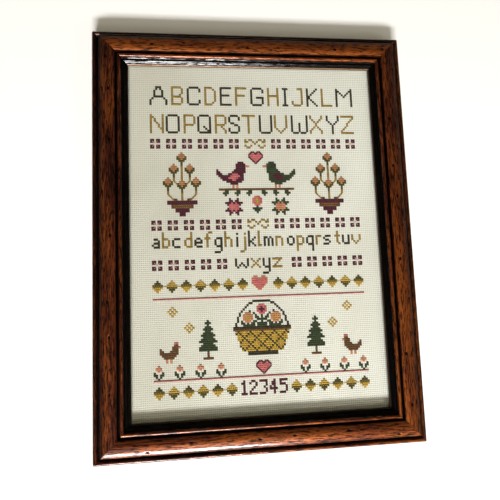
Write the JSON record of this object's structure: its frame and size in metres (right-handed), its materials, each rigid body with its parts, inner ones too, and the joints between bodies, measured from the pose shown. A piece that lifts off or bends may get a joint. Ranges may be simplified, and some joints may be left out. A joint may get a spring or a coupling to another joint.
{
  "type": "cross stitch sampler in a moulded wood picture frame",
  "caption": "Flat cross stitch sampler on even-weave cloth, behind glass in a mitred, stained wood frame with a stepped sight edge.",
  "frame": {"origin": "middle of the frame's back, on the plane of the rails' back faces", "axes": "+X across the picture to the viewer's right, +Y up the picture, +Z out of its face"},
  "size_m": [0.293, 0.384, 0.0203],
  "materials": {
    "stained_wood": "gloss lacquer over mahogany stain, with black lines",
    "clear_glass": "clear float glass",
    "even_weave_cloth": "cream cotton with a square block weave",
    "fibre_board": "plain brown board"
  },
  "bodies": {
    "root": {"rail_top": "stained_wood", "rail_bottom": "stained_wood", "rail_left": "stained_wood", "rail_right": "stained_wood", "glass": "clear_glass", "sampler_cloth": "even_weave_cloth", "backing_board": "fibre_board"}
  },
  "joints": []
}
